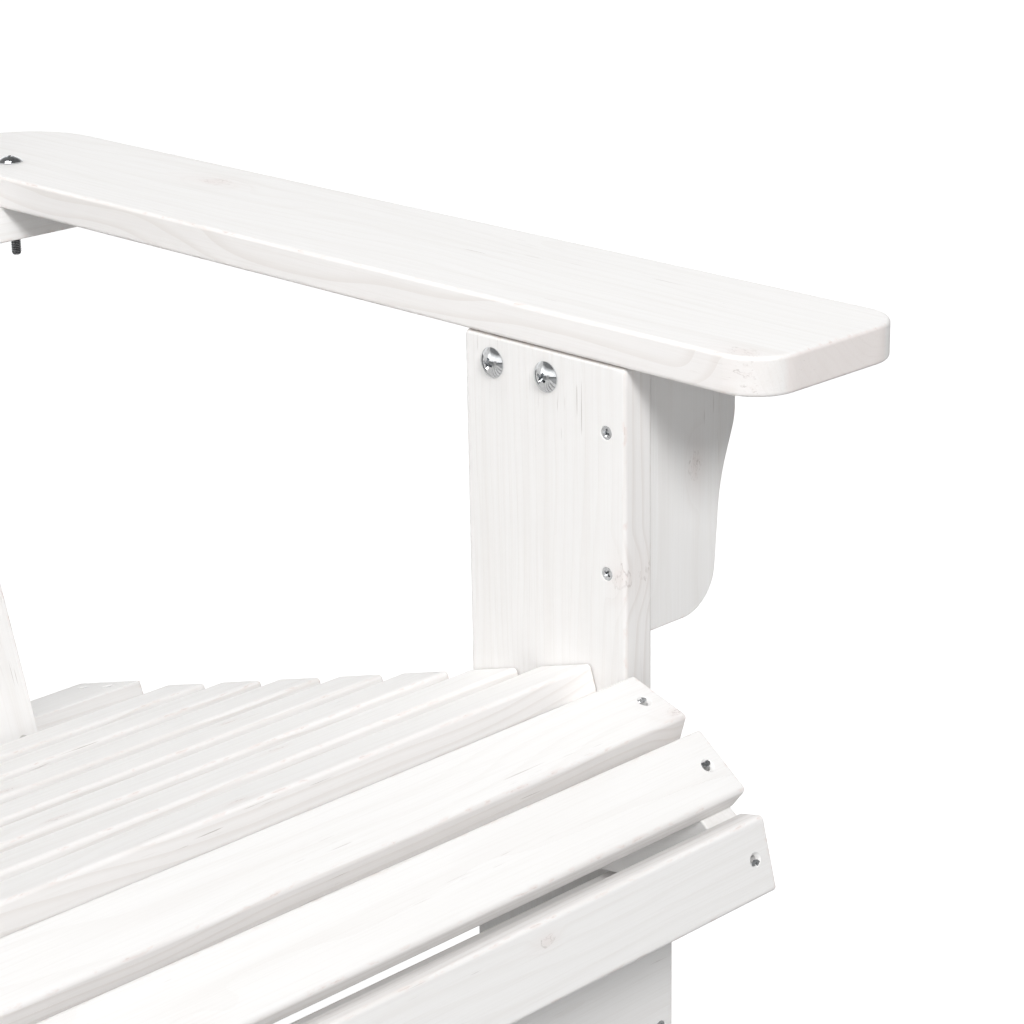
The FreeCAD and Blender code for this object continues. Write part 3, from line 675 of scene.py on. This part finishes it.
@dataclass(frozen=True)
class Seat:
    """Where a fastener sits: the middle of its head's seat, and the way its shank points."""

    place: Vector
    way: Vector
    length: float

    @classmethod
    def of_shank(cls, cloud: np.ndarray, flush: bool) -> "Seat":
        """Find the seat of a headed fastener from its CAD solid.

        Args:
            cloud: The solid's points.
            flush: True where the head's rim is its outer face, as on a countersunk screw.

        Returns:
            The seat, with the length from the seat to the shank's end.
        """
        middle = (cloud.min(axis=0) + cloud.max(axis=0)) / 2
        _, _, axes = np.linalg.svd(cloud - cloud.mean(axis=0), full_matrices=False)
        along = axes[0]
        steps = (cloud - middle) @ along
        reach = np.linalg.norm(cloud - middle - np.outer(steps, along), axis=1)
        at_rim = reach > reach.max() * RIM_SHARE
        rim = steps[at_rim].mean()
        if rim > 0:
            along, steps, rim = -along, -steps, -rim
        start = steps.min() if flush else rim
        hub = (cloud[at_rim].min(axis=0) + cloud[at_rim].max(axis=0)) / 2
        hub = hub + along * (start - (hub - middle) @ along)
        return cls(Vector(hub), Vector(along), float(steps.max() - start))

    @classmethod
    def of_ring(cls, cloud: np.ndarray, way: Vector) -> "Seat":
        """Find the near end of a nut or insert that points a known way.

        Args:
            cloud: The solid's points.
            way: Direction from its near end to its far end.

        Returns:
            The seat, with the ring's length.
        """
        middle = Vector((cloud.min(axis=0) + cloud.max(axis=0)) / 2)
        steps = (cloud - np.array(middle)) @ np.array(way)
        return cls(middle + way * float(steps.min()), way, float(steps.max() - steps.min()))

    def frame_matrix(self, turn: float) -> Matrix:
        """Matrix that puts a fastener, drawn with its shank down -Z, in this seat."""
        swing = Vector((0.0, 0.0, -1.0)).rotation_difference(self.way).to_matrix().to_4x4()
        return Matrix.Translation(self.place) @ swing @ Matrix.Rotation(turn, 4, "Z")


def ring_of(mesh: bmesh.types.BMesh, radii: Sequence[float], height: float) -> list[bmesh.types.BMVert]:
    """Add one ring of points about Z.

    Args:
        mesh: The mesh to add to.
        radii: The radius at each point, evenly spaced round the axis.
        height: The ring's height.

    Returns:
        The points.
    """
    points = []
    for step, radius in enumerate(radii):
        turn = 2 * math.pi * step / len(radii)
        points.append(mesh.verts.new((radius * math.cos(turn), radius * math.sin(turn), height)))
    return points


def skin_over(mesh: bmesh.types.BMesh, rings: Sequence[list[bmesh.types.BMVert]]) -> None:
    """Join each ring to the next with faces.

    Args:
        mesh: The mesh that holds the rings.
        rings: Rings of points, or single points on the axis.
    """
    segments = max(map(len, rings))
    for upper, lower in zip(rings, rings[1:]):
        for step in range(segments):
            after = (step + 1) % segments
            corners = [upper[step % len(upper)], lower[step % len(lower)]]
            corners += [lower[after % len(lower)], upper[after % len(upper)]]
            mesh.faces.new(list(dict.fromkeys(corners)))


def revolved(mesh: bmesh.types.BMesh, outline: Sequence[tuple[float, float]], segments: int) -> None:
    """Turn an outline about Z into a closed skin.

    Args:
        mesh: The mesh to add to.
        outline: Radius and height pairs, from the axis at the top to the axis at the bottom.
        segments: Number of sides round the axis.
    """
    sides = [segments if radius > 0.0 else 1 for radius, _ in outline]
    rings = [ring_of(mesh, [radius] * count, height) for (radius, height), count in zip(outline, sides)]
    skin_over(mesh, rings)


@dataclass(frozen=True)
class Thread:
    """A helical thread cut along a shank, in millimetres."""

    size: float
    pitch: float
    depth: float
    start: float
    end: float
    rings_to_a_pitch: int = 4

    def outline(self) -> list[tuple[float, float]]:
        """Lay out the thread's rings, before they are twisted into a helix.

        Returns:
            Radius and height pairs.
        """
        count = max(2, round((self.start - self.end) / self.pitch * self.rings_to_a_pitch))
        radius = self.size / 2 - self.depth / 2
        return [(radius, self.start + (self.end - self.start) * step / count) for step in range(count + 1)]

    def twist(self, mesh: bmesh.types.BMesh) -> None:
        """Push the thread's rings in and out so that they form a helix.

        Args:
            mesh: The mesh, whose axis is Z.
        """
        for vertex in mesh.verts:
            height = vertex.co.z
            radius = vertex.co.to_2d().length
            if radius < self.size * CORE_SHARE or not self.end <= height <= self.start:
                continue
            turn = math.atan2(vertex.co.y, vertex.co.x) / (2 * math.pi)
            phase = (height / self.pitch - turn) % 1.0
            crest = 1.0 - 2.0 * abs(phase - 0.5)
            fade = min(1.0, (self.start - height) / self.pitch, (height - self.end) / self.pitch)
            wanted = self.size / 2 - self.depth * (1.0 - crest * max(0.0, fade))
            vertex.co.x *= wanted / radius
            vertex.co.y *= wanted / radius


@dataclass(frozen=True)
class CrossRecess:
    """A pressed cross recess for a screwdriver: four tapering wings round a deeper point."""

    span: float
    wing: float
    depth: float
    mouth: Triple = (0.3, 1.06, 1.15)  # height over the depth, then shares of the span and the wing
    point: Triple = (-1.0, 0.34, 0.62)
    apart: float = 1.001  # keeps the two wings' faces out of one plane

    def cutter(self, top: float) -> bpy.types.Object:
        """Build the punch that presses the recess.

        Args:
            top: Height of the head's crown.

        Returns:
            The punch as a hidden object.
        """
        mesh = bmesh.new()
        for turn, stretch in ((0.0, 1.0), (math.pi / 2, self.apart)):
            across = Matrix.Rotation(turn, 3, "Z")
            corners = []
            for level, reach, width in (self.mouth, self.point):
                height = (top + self.depth * level) * stretch
                for x, y in ((-1, -1), (1, -1), (1, 1), (-1, 1)):
                    spot = Vector((x * self.span / 2 * reach, y * self.wing / 2 * width, height))
                    corners.append(mesh.verts.new(across @ spot))
            bmesh.ops.convex_hull(mesh, input=corners)
        return loose_object(mesh, "cross_punch")

    def press(self, head: bpy.types.Object, top: float) -> None:
        """Cut the recess into a head.

        Args:
            head: The fastener.
            top: Height of its crown.
        """
        punch = self.cutter(top)
        cut = head.modifiers.new("recess", "BOOLEAN")
        cut.operation = "DIFFERENCE"
        cut.object = punch
        cut.solver = "EXACT"
        cut.use_self = True
        bpy.context.view_layer.update()
        graph = bpy.context.evaluated_depsgraph_get()
        pressed = bpy.data.meshes.new_from_object(head.evaluated_get(graph))
        head.modifiers.clear()
        head.data = pressed
        bpy.data.objects.remove(punch)


def loose_object(mesh: bmesh.types.BMesh, name: str) -> bpy.types.Object:
    """Turn a mesh under construction into an object in the scene.

    Args:
        mesh: The mesh, which is freed.
        name: The object's name.

    Returns:
        The object.
    """
    bmesh.ops.recalc_face_normals(mesh, faces=mesh.faces)
    data = bpy.data.meshes.new(name)
    mesh.to_mesh(data)
    mesh.free()
    made = bpy.data.objects.new(name, data)
    bpy.context.scene.collection.objects.link(made)
    return made


@dataclass(frozen=True)
class MachineBolt:
    """A domed M6 machine bolt with a cross recess and a cut thread at its end."""

    size: float = 6.0
    head: float = 14.5
    rise: float = 3.6
    brim: float = 0.7
    pitch: float = 1.0
    thread: float = 22.0
    thread_depth: float = 0.61
    dome_rings: int = 12
    dome_reach: float = 0.985  # share of the radius where the dome turns into the brim
    root_share: float = 0.45  # faces deeper in the thread than this get the painted shade of its grooves
    recess: CrossRecess = CrossRecess(7.0, 1.5, 2.5)

    def build(self, length: float) -> bpy.types.Object:
        """Build one bolt with its seat at the origin and its shank down -Z.

        Args:
            length: From the seat to the shank's end, in millimetres.

        Returns:
            The bolt, in millimetres.
        """
        radius = self.head / 2
        rise = self.rise - self.brim
        sphere = (radius**2 + rise**2) / (2 * rise)
        dome = []
        for step in range(self.dome_rings + 1):
            out = radius * self.dome_reach * step / self.dome_rings
            dome.append((out, self.brim + rise - sphere + math.sqrt(sphere**2 - out**2)))
        brim = [(radius, self.brim), (radius, 0.25), (radius - 0.3, 0.0), (self.size / 2 + 0.5, 0.0)]
        depth = self.thread_depth * self.pitch
        thread = Thread(self.size, self.pitch, depth, self.thread - length, 0.8 - length)
        shank = [(self.size / 2, -0.4), (self.size / 2, thread.start + 0.3)]
        tip = [(self.size / 2 - depth, thread.end - 0.1), (self.size / 2 - 1.1, -length), (0.0, -length)]
        mesh = bmesh.new()
        revolved(mesh, dome + brim + shank + thread.outline() + tip, 48)
        thread.twist(mesh)
        root = self.size / 2 - depth * self.root_share
        # The root faces get the second material, the painted shade of the thread's grooves.
        for face in mesh.faces:
            middle = face.calc_center_median()
            if thread.end < middle.z < thread.start and middle.to_2d().length < root:
                face.material_index = 1
        bolt = loose_object(mesh, "machine_bolt")
        self.recess.press(bolt, self.rise)
        return bolt


@dataclass(frozen=True)
class WoodScrew:
    """A countersunk wood screw with a cross recess, set a touch below the board's face."""

    size: float = 3.5
    head: float = 6.7
    sunk: float = 0.25
    pitch: float = 1.7
    thread_depth: float = 0.62
    plain_share: float = 0.36  # share of the length under the head that has no thread
    point: float = 3.0
    recess: CrossRecess = CrossRecess(4.3, 1.0, 1.8)

    def build(self, length: float) -> bpy.types.Object:
        """Build one screw with the board's face at the origin and its shank down -Z.

        Args:
            length: From the face to the point, in millimetres.

        Returns:
            The screw, in millimetres.
        """
        radius = self.head / 2
        top = -self.sunk
        cone = radius - self.size / 2
        neck = -self.sunk - 0.2 - cone
        start, end = -length * self.plain_share, -length + self.point
        thread = Thread(self.size, self.pitch, self.thread_depth, start, end)
        crown = [(0.0, top), (radius * 0.6, top), (radius - 0.15, top - 0.02), (radius, top - 0.2)]
        waist = self.size / 2 - 0.3
        shank = [(self.size / 2, neck), (waist, neck - 0.5), (waist, start + 0.4)]
        point = [(self.size / 2 - self.thread_depth - 0.2, end - 0.6), (0.0, -length)]
        mesh = bmesh.new()
        revolved(mesh, crown + shank + thread.outline() + point, 24)
        thread.twist(mesh)
        screw = loose_object(mesh, "wood_screw")
        self.recess.press(screw, top)
        return screw


@dataclass(frozen=True)
class HexNut:
    """A chamfered M6 hexagon nut with a threaded bore."""

    size: float = 6.0
    flats: float = 10.0
    pitch: float = 1.0
    segments: int = 60
    chamfer: float = 0.35
    shoulder: float = 0.8  # depth below which all six corners are whole
    thread_wave: float = 0.3

    def build(self, length: float) -> bpy.types.Object:
        """Build one nut from the origin down -Z, in millimetres.

        Args:
            length: The nut's height.

        Returns:
            The nut.
        """
        mesh = bmesh.new()
        rings = [ring_of(mesh, self._hexagon(limit), height) for height, limit in self._chamfers(length)]
        wall = self.size / 2 - 0.1
        mouth = self.size / 2 + self.chamfer
        bore = [(-length, mouth), (-length + self.chamfer, wall)]
        bore += [(-step * self.pitch / 4, wall) for step in range(int(length * 4) - 2, 1, -1)]
        bore += [(-self.chamfer, wall), (0.0, mouth)]
        rings += [ring_of(mesh, [radius] * self.segments, height) for height, radius in bore]
        skin_over(mesh, rings + rings[:1])
        for vertex in mesh.verts:
            radius = vertex.co.to_2d().length
            if radius < self.size / 2 and -length + 0.3 < vertex.co.z < -0.3:
                turn = math.atan2(vertex.co.y, vertex.co.x) / (2 * math.pi)
                phase = (vertex.co.z / self.pitch - turn) % 1.0
                scale = (self.size / 2 + self.thread_wave * (abs(phase - 0.5) * 2 - 0.5)) / radius
                vertex.co.x *= scale
                vertex.co.y *= scale
        return loose_object(mesh, "hexagon_nut")

    def _chamfers(self, length: float) -> list[tuple[float, float]]:
        """Heights down the nut's outside, each with how far past the flats it may reach."""
        near = [(0.0, 0.15), (-self.chamfer, 0.75), (-self.shoulder, 9.0)]
        return near + [(-length - height, limit) for height, limit in reversed(near)]

    def _hexagon(self, limit: float) -> list[float]:
        """Radii round the nut's outside.

        Args:
            limit: How far past the flats a corner may reach.

        Returns:
            One radius for each segment.
        """
        sixth = math.pi / 3
        radii = []
        for step in range(self.segments):
            turn = 2 * math.pi * step / self.segments
            corner = (turn + sixth / 2) % sixth - sixth / 2
            radii.append(min(self.flats / 2 / math.cos(corner), self.flats / 2 + limit))
        return radii


@dataclass(frozen=True)
class ThreadedInsert:
    """A turned brass insert with a coarse outer thread and a chamfered mouth."""

    size: float = 9.0
    bore: float = 6.3
    pitch: float = 2.2
    thread_depth: float = 0.9

    def build(self, length: float) -> bpy.types.Object:
        """Build one insert from the origin down -Z, in millimetres.

        Args:
            length: The insert's length.

        Returns:
            The insert.
        """
        outer = self.size / 2
        inner = self.bore / 2
        thread = Thread(self.size, self.pitch, self.thread_depth, -1.2, -length + 0.6)
        outline = [(inner + 0.4, 0.0), (outer - 0.3, 0.0), (outer, -0.3), (outer, -0.9)] + thread.outline()
        outline += [(outer - self.thread_depth, -length + 0.2), (inner + 0.3, -length)]
        outline += [(inner, -length + 0.4), (inner, -0.5)]
        mesh = bmesh.new()
        revolved(mesh, outline + outline[:1], 36)
        bmesh.ops.remove_doubles(mesh, verts=mesh.verts, dist=1e-5)
        thread.twist(mesh)
        return loose_object(mesh, "threaded_insert")


@dataclass(frozen=True)
class DrawnBrad:
    """A thin drawn brad with a small swaged head and a chisel point."""

    size: float = 1.8

    def build(self, length: float) -> bpy.types.Object:
        """Build one brad from the origin down -Z, in millimetres.

        Args:
            length: The brad's length.

        Returns:
            The brad.
        """
        radius = self.size / 2
        wire = radius * 0.82
        outline = [(0.0, -0.05), (radius * 0.8, -0.05), (radius, -0.25), (radius, -0.9)]
        outline += [(wire, -1.3), (wire, -length + 2.4), (radius * 0.5, -length + 0.8), (0.0, -length + 0.1)]
        mesh = bmesh.new()
        revolved(mesh, outline, 16)
        return loose_object(mesh, "drawn_brad")


@dataclass
class FastenerGroup:
    """Identical fasteners that stand for one CAD node."""

    node: str
    pattern: Any
    finish: Finish
    ways: tuple[Triple, ...] = ()
    first_turn: float = 0.35  # radians; the recesses of a hand-driven row never line up
    turn_step: float = 1.9

    def seats(self) -> list[Seat]:
        """Find where each fastener of the group sits.

        Returns:
            The seats, in an order that doesn't change from run to run.
        """
        clouds = solid_clouds(self.node)
        clouds.sort(key=lambda cloud: tuple(np.round(cloud.mean(axis=0), 4)))
        if not self.ways:
            flush = not isinstance(self.pattern, MachineBolt)
            return [Seat.of_shank(cloud, flush) for cloud in clouds]
        found = []
        for cloud in clouds:
            side = Vector(self.ways[0 if cloud[:, 0].mean() > 0 else -1])
            found.append(Seat.of_ring(cloud, side))
        return found

    def build(self, finishes: dict[Finish, bpy.types.Material]) -> bpy.types.Object:
        """Build the group as one piece in place of its CAD node.

        Args:
            finishes: The material of each plated finish.

        Returns:
            The finished piece.
        """
        seats = self.seats()
        sample = self.pattern.build(seats[0].length / MM)
        joined = bmesh.new()
        for number, seat in enumerate(seats):
            copy = sample.data.copy()
            turn = self.first_turn + self.turn_step * number
            copy.transform(seat.frame_matrix(turn) @ Matrix.Scale(MM, 4))
            joined.from_mesh(copy)
            bpy.data.meshes.remove(copy)
        bpy.data.objects.remove(sample)
        piece = loose_object(joined, f"{self.node}_detailed")
        for face in piece.data.polygons:
            face.use_smooth = True
        piece.data.set_sharp_from_angle(angle=SHARP_EDGE)
        piece.data.materials.append(finishes[self.finish])
        if self.finish is Finish.BOLT:
            # second material: painted shade for the thread's grooves
            piece.data.materials.append(finishes[Finish.ROOT_SHADE])
        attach(piece, "root")
        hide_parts(self.node)
        log.info("built %s: %d of %s", piece.name, len(seats), type(self.pattern).__name__)
        return piece


class Fasteners:
    """Every bolt, nut, insert, screw and brad of the chair."""

    bolts = ("arm_bolts", "rear_arm_bolts", "seat_bolts")
    screws = (
        "back_lower_rail_screws",
        "back_screws_lower",
        "back_screws_middle",
        "back_screws_upper",
        "bracket_screws",
        "cleat_screws",
        "front_rail_screws",
        "nose_slat_screws",
    )

    def groups(self) -> list[FastenerGroup]:
        """List the groups, one for each CAD node of fasteners.

        Returns:
            The groups.
        """
        listed = [FastenerGroup(node, MachineBolt(), Finish.BOLT) for node in self.bolts]
        listed += [FastenerGroup(node, WoodScrew(), Finish.SCREW) for node in self.screws]
        outward = (X_AXIS, (-1.0, 0.0, 0.0))
        listed.append(FastenerGroup("arm_bolt_nuts", HexNut(), Finish.NUT, outward))
        listed.append(FastenerGroup("seat_bolt_nuts", HexNut(), Finish.NUT, outward[::-1]))
        listed.append(FastenerGroup("rear_arm_inserts", ThreadedInsert(), Finish.INSERT, (Z_AXIS,)))
        listed.append(FastenerGroup("seat_slat_brads", DrawnBrad(), Finish.BRAD))
        return listed

    def build(self) -> None:
        """Make the plated finishes, each once, and build every group."""
        finishes = {finish: finish.steel.material() for finish in Finish}
        for group in self.groups():
            group.build(finishes)


# ---- studio


@dataclass(frozen=True)
class Softbox:
    """A soft rectangular studio light that points at the chair."""

    name: str
    place: Triple
    width: float
    height: float
    power: float
    aim: Triple = (0.0, 0.0, 0.4)

    def hang(self) -> None:
        """Put the light in the studio."""
        lamp = bpy.data.lights.new(self.name, "AREA")
        lamp.shape = "RECTANGLE"
        lamp.size = self.width
        lamp.size_y = self.height
        lamp.energy = self.power
        holder = bpy.data.objects.new(self.name, lamp)
        holder.location = self.place
        aim = Vector(self.aim) - Vector(self.place)
        holder.rotation_euler = aim.to_track_quat("-Z", "Y").to_euler()
        bpy.context.scene.collection.objects.link(holder)


@dataclass
class Studio:
    """White sweep and soft lights."""

    floor_side: float = 60.0
    floor_paper: str = "aaaaaa"
    paper_tooth: float = 2.5  # mm
    paper_glow: float = 0.85  # lights the paper from below for the lens alone, so that it reads white
    room: float = 0.14
    left_wall: float = 1.55
    back_wall: float = 1.3
    right_wall: float = 0.5
    ceiling: float = 0.1  # share of the walls' light that reaches up to the ceiling
    lights: tuple[Softbox, ...] = (
        Softbox("key_softbox", (-0.97, -2.77, 2.49), 0.9, 0.9, 82.0, (0.29, -0.348, 0.48)),
        Softbox("overhead_softbox", (-0.2, 0.3, 3.0), 1.2, 1.2, 26.0),
    )

    def lay_floor(self) -> None:
        """Lay the pale floor that the chair stands on."""
        half = self.floor_side / 2
        mesh = bmesh.new()
        corners = ((-half, -half), (half, -half), (half, half), (-half, half))
        mesh.faces.new([mesh.verts.new((x, y, 0.0)) for x, y in corners])
        floor = loose_object(mesh, "studio_floor")
        material, tree, shader = empty_material("white_studio_paper")
        place = add(tree, "TexCoord").outputs["Object"]
        tooth = add(tree, "TexNoise", {"Vector": place, "Scale": 1 / (self.paper_tooth * MM)})
        bump = add(tree, "Bump", {"Strength": 0.02, "Distance": 0.1 * MM, "Height": tooth})
        tree.links.new(bump.outputs[0], shader.inputs["Normal"])
        shader.inputs["Base Color"].default_value = linear(self.floor_paper)
        shader.inputs["Roughness"].default_value = 0.9
        shader.inputs["Emission Color"].default_value = (1.0, 1.0, 1.0, 1.0)
        seen = add(tree, "LightPath").outputs["Is Camera Ray"]
        glow = maths(tree, "MULTIPLY", seen, self.paper_glow)
        tree.links.new(glow.outputs[0], shader.inputs["Emission Strength"])
        floor.data.materials.append(material)

    def light_room(self) -> None:
        """Fill the room with soft white light from its low walls, under a dim ceiling."""
        world = bpy.data.worlds.new("studio_room")
        world.use_nodes = True
        tree = world.node_tree
        tree.nodes.clear()
        way = add(tree, "SeparateXYZ", {0: add(tree, "TexCoord").outputs["Generated"]})
        left = ramp(tree, way.outputs["X"], -0.2, -0.9, high=self.left_wall)
        back = ramp(tree, way.outputs["Y"], 0.2, 0.9, high=self.back_wall)
        right = ramp(tree, way.outputs["X"], 0.4, 0.9, high=self.right_wall)
        walls = maths(tree, "ADD", maths(tree, "ADD", left, back), right)
        height = ramp(tree, way.outputs["Z"], 0.3, 0.6, 1.0, self.ceiling)
        level = maths(tree, "MULTIPLY_ADD", walls, height, self.room)
        seen = add(tree, "LightPath").outputs["Is Camera Ray"]
        white = maths(tree, "MAXIMUM", level, seen)
        glow = add(tree, "Background", {"Color": (1.0, 1.0, 1.0, 1.0), "Strength": white})
        add(tree, "OutputWorld", {"Surface": glow})
        bpy.context.scene.world = world

    def set_up(self) -> None:
        """Build the whole studio."""
        self.lay_floor()
        self.light_room()
        for light in self.lights:
            light.hang()
        bpy.context.scene.view_settings.view_transform = "Standard"


@dataclass(frozen=True)
class Camera:
    """A long lens near the sitter's right shoulder, looking down along the left armrest."""

    place: Triple = (-0.6168, -1.1617, 0.8757)
    heading: float = -44.461
    pitch: float = -19.244
    roll: float = -1.0
    lens: float = 98.96
    film: float = 36.0

    def set_up(self) -> None:
        """Put the camera in the studio and make it the scene's own."""
        heading, pitch = math.radians(self.heading), math.radians(self.pitch)
        ahead = Vector((-math.sin(heading), math.cos(heading), 0.0))
        forward = ahead * math.cos(pitch) + Vector(Z_AXIS) * math.sin(pitch)
        level = Vector((math.cos(heading), math.sin(heading), 0.0))
        upright = level.cross(forward)
        roll = math.radians(self.roll)
        right = level * math.cos(roll) + upright * math.sin(roll)
        up = upright * math.cos(roll) - level * math.sin(roll)
        lens = bpy.data.cameras.new("view_camera")
        lens.lens = self.lens
        lens.sensor_width = self.film
        holder = bpy.data.objects.new("view_camera", lens)
        stand = Matrix((right, up, -forward)).transposed().to_4x4()
        holder.matrix_world = Matrix.Translation(self.place) @ stand
        bpy.context.scene.collection.objects.link(holder)
        bpy.context.scene.camera = holder


def main() -> None:
    """Dress the boards, build the fasteners and set up the studio."""
    logging.basicConfig(level=logging.INFO, format="%(name)s: %(message)s")
    Camera().set_up()
    Studio().set_up()
    wood = PaintedFir()
    dressed = 0
    for group in (SeatBoards(wood), BackBoards(wood), SideBoards(wood)):
        dressed = group.dress(dressed)
    Fasteners().build()


if __name__ == "__main__":
    main()
